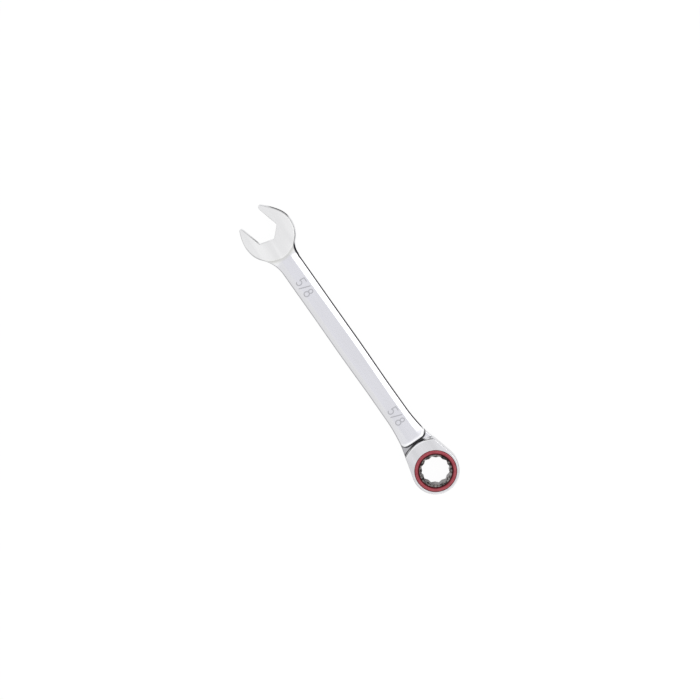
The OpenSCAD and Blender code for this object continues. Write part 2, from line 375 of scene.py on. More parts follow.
def stroke_depth(x, y, centre, depth):
    """How deep the size mark, five eighths, is stamped at a place: plain round strokes."""
    u = (centre[0] - x) / mark_scale
    v = (centre[1] - y) / mark_scale
    turns = np.radians(np.arange(-90, 271, 15))
    bowl = np.radians(np.arange(130, -141, -15))
    five = [(-2.1, 2.6), (-4.3, 2.6), (-4.5, 0.2)]
    five += [(-3.5 + 1.25 * math.cos(t), -1.05 + 1.45 * math.sin(t)) for t in bowl]
    slash = [(-1.0, -2.8), (1.0, 2.8)]
    upper = [(3.5 + 1.0 * math.cos(t), 1.4 + 1.15 * math.sin(t)) for t in turns]
    lower = [(3.5 + 1.3 * math.cos(t), -1.15 + 1.4 * math.sin(t)) for t in turns]
    near = np.full(np.shape(u), 1e9)
    for path in (five, slash, upper, lower):
        for (ax, ay), (bx, by) in zip(path, path[1:]):
            along = ((u - ax) * (bx - ax) + (v - ay) * (by - ay)) / ((bx - ax) ** 2 + (by - ay) ** 2)
            along = np.clip(along, 0, 1)
            far = np.hypot(u - ax - along * (bx - ax), v - ay - along * (by - ay))
            near = np.minimum(near, far)
    edge = np.clip((0.42 - near) / 0.3, 0, 1)
    return depth * edge * edge * (3 - 2 * edge)


# the size is stamped near both ends of the panel
mark_places = ((41.6, 0.5), (138.0, 1.0))
mark_scale = 1.16
mark_reach = np.array([6.4, 3.75])


def panel_lines():
    """Lines along the shank: close together where the panel meets the bevels."""
    xs = np.concatenate((np.arange(22.9, 24.0, 0.25), np.arange(24.0, 150, 1.0), np.arange(150, 166, 0.5)))
    points = []
    for side in (-1, 1):
        for off in (-1.2, -0.8, -0.5, -0.3, -0.15, 0, 0.15, 0.3, 0.5, 0.8, 1.2):
            points.append(np.column_stack((xs, side * (panel_edge(xs) + off))))
        for share in (0.45, 0.7):
            edge = panel_edge(xs) + 1.2
            points.append(np.column_stack((xs, side * (edge + (shank_width(xs) - 0.6 - edge) * share))))
    for share in (-0.8, -0.4, 0, 0.4, 0.8):
        points.append(np.column_stack((xs, share * (panel_edge(xs) - 1.2))))
    return np.vstack(points)


def scatter(outer, hole_r, marked):
    """Points that carry the shape of one side of the forging, clear of its edge loops."""
    head = stagger(-15, face_r, -15, 15, 0.9)
    head = head[np.hypot(*head.T) < face_r - 1.0]
    walls = []
    upper, lower = np.arange(face_r - 0.9, face_r + 0.1, 0.12), np.arange(face_r + 0.1, face_r + 0.95, 0.17)
    for radius in np.concatenate((upper, lower)):
        widest = math.asin(11 / radius)
        walls.append(arc((0, 0), radius, -widest, widest, 0.4))
    walls = np.vstack(walls)
    ends = []
    rows = np.arange(-9.6, 9.61, 0.4)
    for off in np.arange(-0.5, 0.95, 0.12):
        ends.append(np.column_stack((end_x(np.abs(rows)) + off, rows)))
    ends = np.vstack(ends)
    ends = ends[np.hypot(*ends.T) > face_r + 1.0]
    floor = stagger(face_r - 2.5, shank_x + 2, -10, 10, 0.45)
    floor = floor[np.hypot(*floor.T) > face_r + 1.05]
    floor = floor[floor[:, 0] < end_x(np.abs(floor[:, 1])) - 0.7]
    shank = panel_lines()
    shank = shank[shank[:, 0] > end_x(np.abs(shank[:, 1])) + 1.0]
    jaws = stagger(148, 196, -18, 18, 0.75)
    jaws = jaws[(np.abs(jaws[:, 1]) > 7.0) | (jaws[:, 0] > 166.3)]
    groups = [head, walls, ends, floor, shank, jaws]
    if marked:
        fine = grid(*(np.arange(-reach, reach + 0.01, 0.16) for reach in mark_reach))
        groups = [keep_off_marks(g) for g in groups] + [fine + centre for centre in mark_places]
    points = np.vstack(groups)
    points = points[np.hypot(*points.T) > hole_r + 0.3]
    points = points[inside(points, outer)]
    return points[clear_of(points, outer, 0.32)]


def keep_off_marks(points):
    """Drops the points that the fine grids of the size marks take over."""
    on_mark = np.zeros(len(points), bool)
    for centre in mark_places:
        on_mark |= (np.abs(points - centre) < mark_reach + 0.15).all(axis=1)
    return points[~on_mark]


def build_mesh(name, points, faces, material, sharp=math.radians(35)):
    """A mesh object from points in millimetres."""
    mesh = bpy.data.meshes.new(name)
    mesh.from_pydata((np.asarray(points) * MM).tolist(), [], [list(map(int, f)) for f in faces])
    mesh.validate()
    mesh.polygons.foreach_set("use_smooth", [True] * len(mesh.polygons))
    mesh.set_sharp_from_angle(angle=sharp)
    mesh.materials.append(material)
    made = bpy.data.objects.new(name, mesh)
    bpy.context.scene.collection.objects.link(made)
    return made


def cut(piece, points, faces):
    """Cuts a closed tool shape out of a piece, and keeps the result in its mesh."""
    tool = build_mesh("cutter", points, faces, piece.data.materials[0])
    carve = piece.modifiers.new("carve", "BOOLEAN")
    carve.operation = "DIFFERENCE"
    carve.solver = "MANIFOLD"
    carve.object = tool
    seen = bpy.context.evaluated_depsgraph_get()
    mesh = bpy.data.meshes.new_from_object(piece.evaluated_get(seen))
    piece.modifiers.remove(carve)
    old = piece.data
    piece.data = mesh
    bpy.data.meshes.remove(old)
    bpy.data.objects.remove(tool)
    mesh.polygons.foreach_set("use_smooth", [True] * len(mesh.polygons))
    mesh.set_sharp_from_angle(angle=math.radians(35))


def block(low, high):
    """Corners and faces of a plain block, for cutting."""
    xs, ys, zs = zip(low, high)
    points = [(x, y, z) for x in xs for y in ys for z in zs]
    faces = [(0, 1, 3, 2), (4, 6, 7, 5), (0, 4, 5, 1), (2, 3, 7, 6), (0, 2, 6, 4), (1, 5, 7, 3)]
    return points, faces


def rod(x0, x1, radius, z, count=48):
    """Points and faces of a plain rod along X, for cutting."""
    turn = 2 * math.pi * np.arange(count) / count
    ends = [
        np.column_stack((np.full(count, x), radius * np.cos(turn), z + radius * np.sin(turn)))
        for x in (x0, x1)
    ]
    points, faces = bridge(ends)
    return points, faces + [tuple(range(count))[::-1], tuple(range(count, 2 * count))]


def node(tree, kind, inputs=None, **settings):
    """Adds a shader node, with its settings and its inputs set or linked."""
    made = tree.nodes.new(kind)
    for name, value in settings.items():
        setattr(made, name, value)
    for name, value in (inputs or {}).items():
        if isinstance(value, bpy.types.NodeSocket):
            tree.links.new(value, made.inputs[name])
        else:
            made.inputs[name].default_value = value
    return made


def math_node(tree, operation, first, second=0.0, clamp=False):
    made = node(tree, "ShaderNodeMath", {0: first, 1: second}, operation=operation, use_clamp=clamp)
    return made.outputs[0]


def band(tree, value, low, high, to_low=0.0, to_high=1.0):
    """Runs smoothly from to_low to to_high as the value passes from low to high."""
    return node(
        tree, "ShaderNodeMapRange", {0: value, 1: low, 2: high, 3: to_low, 4: to_high},
        interpolation_type="SMOOTHSTEP",
    ).outputs[0]


def mix_colour(tree, share, first, second):
    return node(tree, "ShaderNodeMix", {0: share, 6: first, 7: second}, data_type="RGBA").outputs[2]


def from_axis(tree, first, second):
    """How far a place lies from an upright axis, given its offsets from it."""
    flat = node(tree, "ShaderNodeCombineXYZ", {0: first, 1: second}).outputs[0]
    return node(tree, "ShaderNodeVectorMath", {0: flat}, operation="LENGTH").outputs["Value"]


def new_material(name, **fixed):
    """A material with a Principled shader, whose unchanging values are set on its own sockets."""
    made = bpy.data.materials.new(name)
    made.use_nodes = True
    shader = made.node_tree.nodes["Principled BSDF"]
    for socket, value in fixed.items():
        shader.inputs[socket.replace("_", " ")].default_value = value
    return made, made.node_tree, shader


def roughen(tree, shader, scratches, strength, depth=0.00004):
    """Gives a metal the relief of its scratches."""
    relief = node(tree, "ShaderNodeBump", {"Height": scratches, "Strength": strength, "Distance": depth})
    tree.links.new(relief.outputs[0], shader.inputs["Normal"])


# the marks that a belt or a cutter leaves: long fine scratches, and slow changes of shade
tool_marks = bpy.data.node_groups.new("tool_marks", "ShaderNodeTree")
for socket, kind, default in (
    ("Place", "NodeSocketVector", None),
    ("Scratch Scale", "NodeSocketFloat", 1000.0),
    ("Mottle Scale", "NodeSocketFloat", 100.0),
):
    made = tool_marks.interface.new_socket(socket, in_out="INPUT", socket_type=kind)
    if default:
        made.default_value = default
for socket in ("Scratches", "Mottle"):
    tool_marks.interface.new_socket(socket, in_out="OUTPUT", socket_type="NodeSocketFloat")
entry = tool_marks.nodes.new("NodeGroupInput")
leave = tool_marks.nodes.new("NodeGroupOutput")
scratch = node(
    tool_marks, "ShaderNodeTexNoise",
    {
        "Vector": entry.outputs["Place"], "Scale": entry.outputs["Scratch Scale"],
        "Detail": 3.0, "Roughness": 0.6,
    },
)
mottle = node(
    tool_marks, "ShaderNodeTexNoise",
    {"Vector": entry.outputs["Place"], "Scale": entry.outputs["Mottle Scale"], "Detail": 4.0},
)
tool_marks.links.new(scratch.outputs[0], leave.inputs["Scratches"])
tool_marks.links.new(mottle.outputs[0], leave.inputs["Mottle"])


def place_marks(tree, place, stretch, scratch_scale, mottle_scale):
    """The tool marks, with the place stretched so that they run one way."""
    moved = node(tree, "ShaderNodeVectorMath", {0: place, 1: stretch}, operation="MULTIPLY").outputs[0]
    made = node(tree, "ShaderNodeGroup", node_tree=tool_marks)
    tree.links.new(moved, made.inputs["Place"])
    made.inputs["Scratch Scale"].default_value = scratch_scale
    made.inputs["Mottle Scale"].default_value = mottle_scale
    return made.outputs["Scratches"], made.outputs["Mottle"]


chrome, tree, shader = new_material("chrome_plate", Metallic=1.0)
spot = node(tree, "ShaderNodeTexCoord")
place = spot.outputs["Object"]
in_mm = node(tree, "ShaderNodeVectorMath", {0: place, "Scale": 1000.0}, operation="SCALE").outputs[0]
along, over, up = node(tree, "ShaderNodeSeparateXYZ", {0: in_mm}).outputs
facing = node(tree, "ShaderNodeSeparateXYZ", {0: spot.outputs["Normal"]}).outputs[2]
tilt = math_node(tree, "ABSOLUTE", facing)
height = math_node(tree, "ABSOLUTE", math_node(tree, "SUBTRACT", up, z_mid))
ground = math_node(
    tree, "MULTIPLY", band(tree, tilt, 0.93, 0.99), band(tree, height, open_half - 0.3, open_half - 0.1)
)
from_heel = from_axis(
    tree, math_node(tree, "SUBTRACT", along, heel[0]), math_node(tree, "SUBTRACT", over, heel[1])
)
blended = math_node(
    tree, "MULTIPLY", band(tree, from_heel, heel_r + 2.4, heel_r - 0.2), band(tree, tilt, 0.8, 0.9)
)
blended = math_node(tree, "MULTIPLY", blended, math_node(tree, "SUBTRACT", 1.0, ground))
satin = math_node(tree, "MAXIMUM", ground, blended)
from_hub = from_axis(tree, along, over)
# painted shade: the hollow between the ratchet head and the shank's raised end is darkened, less so towards
# +Y
wide = math_node(tree, "SUBTRACT", math_node(tree, "ABSOLUTE", over), end_flat)
wide = node(tree, "ShaderNodeClamp", {0: wide, 1: 0.0, 2: end_corner_reach}).outputs[0]
wide = math_node(tree, "POWER", wide, 2.0)
turned_back = math_node(tree, "SQRT", math_node(tree, "SUBTRACT", end_corner_r**2, wide))
past_end = math_node(tree, "ADD", math_node(tree, "SUBTRACT", along, shank_x + end_corner_r), turned_back)
in_hollow = math_node(
    tree, "MULTIPLY", band(tree, from_hub, face_r - 0.1, face_r + 0.4), band(tree, past_end, 0.55, 0.1)
)
by_walls = math_node(
    tree, "MAXIMUM", band(tree, from_hub, face_r + 1.1, face_r + 0.5), band(tree, past_end, -0.6, -0.1)
)
shade_eased_toward_plus_y = math_node(tree, "MULTIPLY", band(tree, over, 1.5, 5.0), 0.55)
shade_eased_toward_plus_y = math_node(tree, "MULTIPLY", shade_eased_toward_plus_y, math_node(tree, "SUBTRACT", 1.0, by_walls))
painted_hollow_shade = math_node(tree, "MULTIPLY", in_hollow, math_node(tree, "SUBTRACT", 1.0, shade_eased_toward_plus_y))
painted_hollow_shade = math_node(tree, "MULTIPLY", painted_hollow_shade, band(tree, over, -6.0, -4.4))
# painted shade also runs in a thin line along the foot of that end, round its corner on the lower side
from_foot = math_node(tree, "ABSOLUTE", math_node(tree, "SUBTRACT", past_end, 0.2))
corner_shade_line = math_node(tree, "MULTIPLY", band(tree, from_foot, 0.85, 0.45), band(tree, over, -4.0, -5.2))
painted_hollow_shade = math_node(tree, "MAXIMUM", painted_hollow_shade, corner_shade_line)
painted_hollow_shade = math_node(tree, "MULTIPLY", painted_hollow_shade, band(tree, height, 3.5, 2.6))
stamp = node(tree, "ShaderNodeAttribute", attribute_name="stamp").outputs["Fac"]
scratches, mottles = place_marks(tree, place, (0.12, 1.0, 1.0), 2600.0, 260.0)
shade = band(tree, mottles, 0.3, 0.7)
polished = mix_colour(tree, shade, (0.79, 0.79, 0.80, 1), (0.82, 0.82, 0.835, 1))
satin_colour = mix_colour(tree, shade, (0.71, 0.71, 0.705, 1), (0.79, 0.79, 0.785, 1))
# painted light: the jaws' ground faces are given a lighter grey than the head's, though they have the same
# finish
jaw_satin_painted_lighter = mix_colour(tree, shade, (0.85, 0.85, 0.825, 1), (0.93, 0.93, 0.9, 1))
satin_colour = mix_colour(tree, band(tree, along, 140.0, 160.0), satin_colour, jaw_satin_painted_lighter)
metal = mix_colour(tree, satin, polished, satin_colour)
# painted shade: the blend round the heel of the jaws is darkened
metal = mix_colour(tree, math_node(tree, "MULTIPLY", blended, 0.85), metal, (0.57, 0.57, 0.56, 1))
# painted highlight: the shank's raised end is given the brightest grey
painted_end_highlight = math_node(tree, "MULTIPLY", band(tree, past_end, 0.3, 0.8), band(tree, past_end, 3.2, 1.9))
metal = mix_colour(tree, painted_end_highlight, metal, (0.97, 0.97, 0.98, 1))
metal = mix_colour(tree, math_node(tree, "MULTIPLY", stamp, 0.45), metal, (0.1, 0.1, 0.11, 1))
# painted shade: the hollow and the line at the foot of the raised end go nearly black
colour = mix_colour(tree, math_node(tree, "MULTIPLY", painted_hollow_shade, 0.94), metal, (0.014, 0.013, 0.015, 1))
tree.links.new(colour, shader.inputs["Base Color"])
rough = math_node(tree, "ADD", 0.1, math_node(tree, "MULTIPLY", scratches, 0.07))
rough = math_node(tree, "ADD", rough, math_node(tree, "MULTIPLY", satin, 0.2))
rough = math_node(tree, "ADD", rough, math_node(tree, "MULTIPLY", painted_hollow_shade, 0.25))
tree.links.new(rough, shader.inputs["Roughness"])
coarse = math_node(tree, "MULTIPLY", scratches, band(tree, satin, 0.0, 1.0, 0.12, 1.0))
roughen(tree, shader, coarse, 0.15)

# the edge, rounded over in steps from the side wall to the face
turns = np.radians(np.arange(0, 91, 15))
edge_r = np.minimum(edge_r, 0.4 * half_thickness(*outline.T))
loops = []
for turn in turns:
    at = inset(outline, draft + edge_r * (1 - math.cos(turn)))
    loops.append((at, half_thickness(*at.T) - edge_r * (1 - math.sin(turn))))
support = inset(outline, draft + edge_r + 0.15)
loops.append((support, half_thickness(*support.T)))
count = len(outline)
stack = [raise_to(at, z_mid - rise) for at, rise in loops[::-1]]
for share in (-0.75, -0.5, -0.25, 0.0, 0.25, 0.5, 0.75):
    out = inset(outline, draft * abs(share) ** 1.5)
    stack.append(raise_to(out, z_mid + share * loops[0][1]))
stack += [raise_to(at, z_mid + rise) for at, rise in loops]
side_points, side_faces = bridge(stack)

around = 192
hole_profile = []
top, rim = body_high.z / MM, 0.25
hole_profile.append((recess_r + rim + 0.15, top))
for turn in np.radians(np.arange(90, -1, -18)):
    hole_profile.append((recess_r + rim - rim * math.cos(turn), top - rim + rim * math.sin(turn)))
for turn in np.radians(np.arange(85, -86, -17)):
    hole_profile.append((
        recess_r - 0.015 + clip_groove_r * math.cos(turn), clip_z + clip_groove_r * math.sin(turn)
    ))
hole_profile += [
    (recess_r, shelf_z + 0.04), (recess_r - 0.04, shelf_z), (cavity_r + 0.05, shelf_z),
    (cavity_r, shelf_z - 0.05), (cavity_r, lip_z + 0.05), (cavity_r - 0.05, lip_z),
    (lip_bore_r + 0.05, lip_z), (lip_bore_r, lip_z - 0.05),
]
low_rim = 0.3
for turn in np.radians(np.arange(0, 91, 15)):
    hole_profile.append((lip_bore_r + low_rim - low_rim * math.cos(turn), low_rim - low_rim * math.sin(turn)))
hole_profile.append((lip_bore_r + low_rim + 0.15, 0.0))
hole_points, hole_faces = bridge([ring(r, z, around) for r, z in hole_profile], len(side_points))

points = [side_points, hole_points]
faces = side_faces + hole_faces
total = len(side_points) + len(hole_points)
for side, hole_r, hole_start in (
    (1, recess_r + rim + 0.15, len(side_points)),
    (-1, lip_bore_r + low_rim + 0.15, total - around),
):
    hole = ring(hole_r, 0, around)[:, :2]
    inner = scatter(support, hole_r, side > 0)
    triangles = fill(support, [hole], inner)
    rise = half_thickness(*inner.T)
    if side > 0:
        for centre in mark_places:
            rise -= stroke_depth(inner[:, 0], inner[:, 1], centre, 0.07)
    edge_start = len(side_points) - count if side > 0 else 0
    ids = np.concatenate((
        edge_start + np.arange(count), hole_start + np.arange(around), total + np.arange(len(inner))
    ))
    points.append(raise_to(inner, z_mid + side * rise))
    total += len(inner)
    faces += [tuple(ids[t][::side]) for t in triangles]
body = build_mesh("forged_body", np.vstack(points), faces, chrome)
slack = 0.03
pocket_half = 3.85
cut(body, *block(
    (cavity_r - 1.5, -pocket_half, lip_z + slack), (pocket_end, pocket_half, shelf_z - slack)
))
spring_z = (spring_low.z + spring_high.z) / 2 / MM
spring_r = (spring_high.y - spring_low.y) / 2 / MM
cut(body, *rod(pocket_end - 1, spring_high.x / MM, spring_r + 0.1, spring_z))
# black also stays in the bottom of the stamped size marks
at = np.empty(len(body.data.vertices) * 3)
body.data.vertices.foreach_get("co", at)
at = at.reshape(-1, 3) / MM
on_top = at[:, 2] > z_mid + 2
stamped = sum(stroke_depth(at[:, 0], at[:, 1], centre, 1.0) for centre in mark_places) * on_top
body.data.attributes.new("stamp", "FLOAT", "POINT").data.foreach_set("value", stamped)
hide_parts("wrench_body")
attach(body, "wrench")

# ---- Ratchet gear --------------------------------------------------------------------------
# The turning insert: a broached 12-point socket inside, 72 one-way teeth round its middle, and
# plain journals above and below them. Alloy steel, hardened and blackened, so its edges wear pale.
teeth = 72
tooth_steps = (0.0, 0.3, 0.36, 0.5, 0.75, 0.94)
tooth_root = gear_high.x / MM - 0.55
tooth_tip = gear_high.x / MM
socket_flat = 7.975  # half of 15.95 mm across flats
lead_r = socket_flat / math.cos(math.radians(30)) + 0.6
lead_slope = math.tan(math.radians(35))
gear_top, gear_base = gear_high.z / MM, gear_low.z / MM
band_low, band_high = pawl_low.z / MM, pawl_high.z / MM
pitch = math.radians(360 / teeth)
tooth_turns = np.array([pitch * (i + s - 0.5) for i in range(teeth) for s in tooth_steps])
climb = np.interp(tooth_steps, (0, 0.3, 0.36, 0.94, 1), (0, 1, 1, 0, 0))
tooth_r = tooth_root + (tooth_tip - tooth_root) * np.tile(climb, teeth)
from_corner = np.abs((np.degrees(tooth_turns) - 10 + 15) % 30 - 15)
socket_r = socket_flat / np.cos(np.radians(30 - from_corner))
lead_depth = (lead_r - socket_r) * lead_slope


def turned(radius, z):
    """A loop round the gear, at a radius and a height for each of its angles."""
    radius = np.broadcast_to(radius, tooth_turns.shape)
    height = np.broadcast_to(z, tooth_turns.shape)
    return np.column_stack((radius * np.cos(tooth_turns), radius * np.sin(tooth_turns), height))


def face_of_gear(side):
    """Loops from the socket's wall over the lead-in and the face to the journal, for one side."""
    face = gear_top if side > 0 else gear_base
    soft = np.minimum(0.06, (lead_r - socket_r) * 0.2)
    return [
        turned(socket_r, face - side * (lead_depth + 0.25)),
        turned(socket_r, face - side * (lead_depth + 0.05)),
        turned(socket_r + soft, face - side * (lead_depth - soft * lead_slope)),
        turned(lead_r - 0.06, face - side * 0.05),
        turned(lead_r + 0.05, face),
        turned(journal_r - 0.24, face),
        turned(journal_r - 0.18, face - side * 0.04),
        turned(journal_r - 0.04, face - side * 0.2),
        turned(journal_r, face - side * 0.28),
    ]


loops = face_of_gear(1)
loops += [
    turned(journal_r, band_high + 0.05),
    turned(journal_r + 0.05, band_high),
    turned(tooth_r - 0.12, band_high),
    turned(tooth_r - 0.03, band_high - 0.03),
    turned(tooth_r, band_high - 0.12),
    turned(tooth_r, band_low + 0.12),
    turned(tooth_r - 0.03, band_low + 0.03),
    turned(tooth_r - 0.12, band_low),
    turned(journal_r + 0.05, band_low),
    turned(journal_r, band_low - 0.05),
]
loops += face_of_gear(-1)[::-1]
for share in (0.3, 0.5, 0.7):
    loops.append(turned(socket_r, gear_base + (gear_top - gear_base) * share))
points, faces = bridge(loops)
count = len(tooth_turns)
last = (len(loops) - 1) * count
faces += [(last + i, last + (i + 1) % count, (i + 1) % count, i) for i in range(count)]
faces = [f[::-1] for f in faces]

black_steel, tree, shader = new_material("blackened_steel", Metallic=1.0)
place = node(tree, "ShaderNodeTexCoord").outputs["Object"]
axes = node(tree, "ShaderNodeSeparateXYZ", {0: place}).outputs
scratches, mottles = place_marks(tree, place, (1.0, 1.0, 0.25), 1800.0, 700.0)
height = math_node(tree, "ABSOLUTE", math_node(tree, "SUBTRACT", axes[2], z_mid * MM))
rubbed = band(tree, mottles, 0.34, 0.78)
worn = node(tree, "ShaderNodeAttribute", attribute_name="edge").outputs["Fac"]
pale = math_node(tree, "MULTIPLY", worn, rubbed, clamp=True)
black = mix_colour(tree, rubbed, (0.022, 0.02, 0.02, 1), (0.075, 0.066, 0.063, 1))
normal = node(tree, "ShaderNodeTexCoord").outputs["Normal"]
facing = node(tree, "ShaderNodeSeparateXYZ", {0: normal}).outputs[2]
upright = band(tree, math_node(tree, "ABSOLUTE", facing), 0.3, 0.1)
from_hub = from_axis(tree, axes[0], axes[1])
broached = math_node(tree, "MULTIPLY", upright, band(tree, from_hub, 9.6 * MM, 9.3 * MM))
black = mix_colour(tree, broached, black, (0.22, 0.205, 0.2, 1))
tree.links.new(mix_colour(tree, pale, black, (0.42, 0.39, 0.37, 1)), shader.inputs["Base Color"])
rough = math_node(tree, "ADD", 0.28, math_node(tree, "MULTIPLY", scratches, 0.2))
tree.links.new(rough, shader.inputs["Roughness"])
roughen(tree, shader, scratches, 0.2)


def mark_edges(piece, count, edges):
    """Stores which loops of points lie on a worn edge, for the material to read."""
    worn = np.zeros(len(piece.data.vertices))
    for level in edges:
        worn[level * count : (level + 1) * count] = 1.0
    attribute = piece.data.attributes.new("edge", "FLOAT", "POINT")
    attribute.data.foreach_set("value", worn)


gear = build_mesh("socket_gear", points, faces, black_steel, math.radians(24))
mark_edges(gear, count, (1, 2, 3, 4, 6, 7, 13, 14, 22, 23))
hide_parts("ratchet_gear")
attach(gear, "gear")

# ---- Pawl ----------------------------------------------------------------------------------
# A block of hardened tool steel with ratchet teeth ground across its front. It slides in the
# pocket behind the gear and has a blind bore in its back for the spring.
pawl_half = pawl_high.y / MM
pawl_back = pawl_high.x / MM
back_corner = 0.8
front_turns = np.array([pitch * (i + s - 0.5) for i in range(-5, 6) for s in (0.0, 0.3, 0.36, 0.94)])
front_r = tooth_root + 0.025 + (tooth_tip - tooth_root) * np.tile((0, 1, 1, 0), 11)
front = np.column_stack((front_r * np.cos(front_turns), front_r * np.sin(front_turns)))
front = front[np.abs(front[:, 1]) < pawl_half - 0.15][::-1]
edge_x = math.sqrt(tooth_root**2 - pawl_half**2) + 0.35
plan = np.vstack((
    front,
    [(edge_x, -pawl_half)],
    [(x, -pawl_half) for x in np.linspace(edge_x, pawl_back - back_corner, 8)[1:]],
    [(pawl_back - 0.4, -pawl_half + 0.4), (pawl_back, -pawl_half + back_corner)],
    [(pawl_back, y) for y in np.linspace(-pawl_half + back_corner, pawl_half - back_corner, 10)[1:]],
    [(pawl_back - 0.4, pawl_half - 0.4)],
    [(x, pawl_half) for x in np.linspace(pawl_back - back_corner, edge_x, 8)],
))
# the teeth's edges are kept nearly sharp
break_share = np.where(np.arange(len(plan)) < len(front), 0.15, 1.0)
loops = []
for inward, up in ((0.14, 0.0), (0.1, 0.02), (0.0, 0.1)):
    loops.append((inset(plan, inward * break_share), up))
stack = [raise_to(at, band_low + up) for at, up in loops]
stack += [raise_to(at, band_high - up) for at, up in loops[::-1]]
points, faces = bridge(stack)
inner = loops[0][0]
scattered = stagger(11, 16, -4, 4, 0.5)
scattered = scattered[inside(scattered, inner)]
scattered = scattered[clear_of(scattered, inner, 0.2)]
triangles = fill(inner, [], scattered)
top_start = len(points) - len(plan)
both = [points]
total = len(points)
for side, start, z in ((1, top_start, band_high), (-1, 0, band_low)):
    ids = np.concatenate((start + np.arange(len(plan)), total + np.arange(len(scattered))))
    both.append(raise_to(scattered, z))
    total += len(scattered)
    faces += [tuple(ids[t][::side]) for t in triangles]


def bare_steel(name, stretch, scratch_scale, mottle_scale, greys, roughness):
    """Steel that is left bare: its grey changes slowly, and its scratches run one way."""
    made, tree, shader = new_material(name, Metallic=1.0)
    place = node(tree, "ShaderNodeTexCoord").outputs["Object"]
    scratches, mottles = place_marks(tree, place, stretch, scratch_scale, mottle_scale)
    grey = mix_colour(tree, band(tree, mottles, 0.35, 0.65), *greys)
    tree.links.new(grey, shader.inputs["Base Color"])
    rough = math_node(tree, "ADD", roughness[0], math_node(tree, "MULTIPLY", scratches, roughness[1]))
    tree.links.new(rough, shader.inputs["Roughness"])
    return made, tree, shader, scratches


tool_steel, tree, shader, scratches = bare_steel(
    "tool_steel", (1.0, 0.1, 1.0), 3000.0, 400.0, ((0.30, 0.28, 0.26, 1), (0.42, 0.40, 0.37, 1)), (0.2, 0.25)
)
roughen(tree, shader, scratches, 0.25)
pawl = build_mesh("sliding_pawl", np.vstack(both), faces, tool_steel)
cut(pawl, *rod(spring_low.x / MM, pawl_back + 1, spring_r + 0.1, (band_low + band_high) / 2))
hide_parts("pawl")
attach(pawl, "pawl")

# ---- Pawl spring ---------------------------------------------------------------------------
# A small compression spring of music wire between the pawl's bore and its seat in the head. Its
# end turns are closed and lie flat.
wire_r = 0.2
coil_r = spring_r - wire_r
spring_x0, spring_x1 = spring_low.x / MM, spring_high.x / MM
free_turns = 5.5
turns = np.linspace(0, free_turns + 2, 260)
closed = 2 * wire_r
travel = spring_x1 - spring_x0 - 2 * wire_r - 2 * closed
rise = np.interp(
    turns, (0, 1, 1 + free_turns, 2 + free_turns), (0, closed, closed + travel, 2 * closed + travel)
)
angle = 2 * math.pi * turns
path = np.column_stack((
    spring_x0 + wire_r + rise, coil_r * np.cos(angle), spring_z + coil_r * np.sin(angle)
))


def sweep(path, radius, count=12):
    """A round wire along a path, with slightly rounded ends."""
    along = np.gradient(path, axis=0)
    along /= np.linalg.norm(along, axis=1)[:, None]
    points = []
    normal = np.cross(along[0], (0.3, 0.2, 0.9))
    for at, ahead in zip(path, along):
        normal = normal - ahead * np.dot(normal, ahead)
        normal /= np.linalg.norm(normal)
        sideways = np.cross(ahead, normal)
        turn = 2 * math.pi * np.arange(count) / count
        points.append((at, ahead, np.cos(turn)[:, None] * normal + np.sin(turn)[:, None] * sideways))
    at, ahead, spokes = points[0]
    loops = [at + spokes * radius * 0.6, at + ahead * radius * 0.25 + spokes * radius * 0.95]
    loops += [at + spokes * radius for at, ahead, spokes in points[1:-1]]
    at, ahead, spokes = points[-1]
    loops += [at - ahead * radius * 0.25 + spokes * radius * 0.95, at + spokes * radius * 0.6]
    made, faces = bridge(loops)
    last = len(made) - count
    return made, faces + [tuple(range(count))[::-1], tuple(range(last, last + count))]


music_wire = bare_steel(
    "music_wire", (1.0, 1.0, 1.0), 5000.0, 900.0, ((0.42, 0.42, 0.43, 1), (0.58, 0.57, 0.56, 1)), (0.18, 0.2)
)[0]
spring = build_mesh("coil_spring", *sweep(path, wire_r), music_wire)
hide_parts("pawl_spring")
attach(spring, "wrench")
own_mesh(spring)

# ---- Cover ring ----------------------------------------------------------------------------
# A turned aluminium ring, anodised red, that drops into the head's recess over the gear's teeth
# and runs close round its journal. A groove round it takes half of the retaining clip.
cover_r, cover_bore = cover_high.x / MM, journal_r + running_gap
cover_top, cover_base = cover_high.z / MM, cover_low.z / MM
width = cover_r - cover_bore
profile = [
    (cover_r - 0.05, cover_base), (cover_r, cover_base + 0.05),
    (cover_r, clip_z - clip_groove_r - 0.03), (cover_r - 0.02, clip_z - clip_groove_r),
]
for turn in np.radians(np.arange(-80, 81, 20)):
    profile.append((
        cover_r + 0.015 - clip_groove_r * math.cos(turn), clip_z + clip_groove_r * math.sin(turn)
    ))
profile += [(cover_r - 0.02, clip_z + clip_groove_r), (cover_r, clip_z + clip_groove_r + 0.03)]
profile.append((cover_r, cover_top - 0.55))
# a shallow crown between a sloping outer edge and a dished inner one
for share, drop in (
    (0.015, 0.42), (0.05, 0.34), (0.15, 0.21), (0.19, 0.15), (0.22, 0.1), (0.3, 0.03), (0.4, 0.0), (0.5, 0.0),
    (0.6, 0.02), (0.7, 0.07), (0.76, 0.13), (0.79, 0.2), (0.82, 0.3), (0.88, 0.38), (0.95, 0.44),
    (0.985, 0.5),
):
    profile.append((cover_r - width * share, cover_top - drop))
profile += [(cover_bore, cover_top - 0.58), (cover_bore, cover_base + 0.05), (cover_bore + 0.05, cover_base)]
points, faces = bridge([ring(r, z, 192) for r, z in profile])
last = len(points) - 192
faces += [(last + i, last + (i + 1) % 192, (i + 1) % 192, i) for i in range(192)]

anodised, tree, shader = new_material("red_anodising", Metallic=0.85)
place = node(tree, "ShaderNodeTexCoord").outputs["Object"]
axes = node(tree, "ShaderNodeSeparateXYZ", {0: place}).outputs
from_hub = from_axis(tree, axes[0], axes[1])
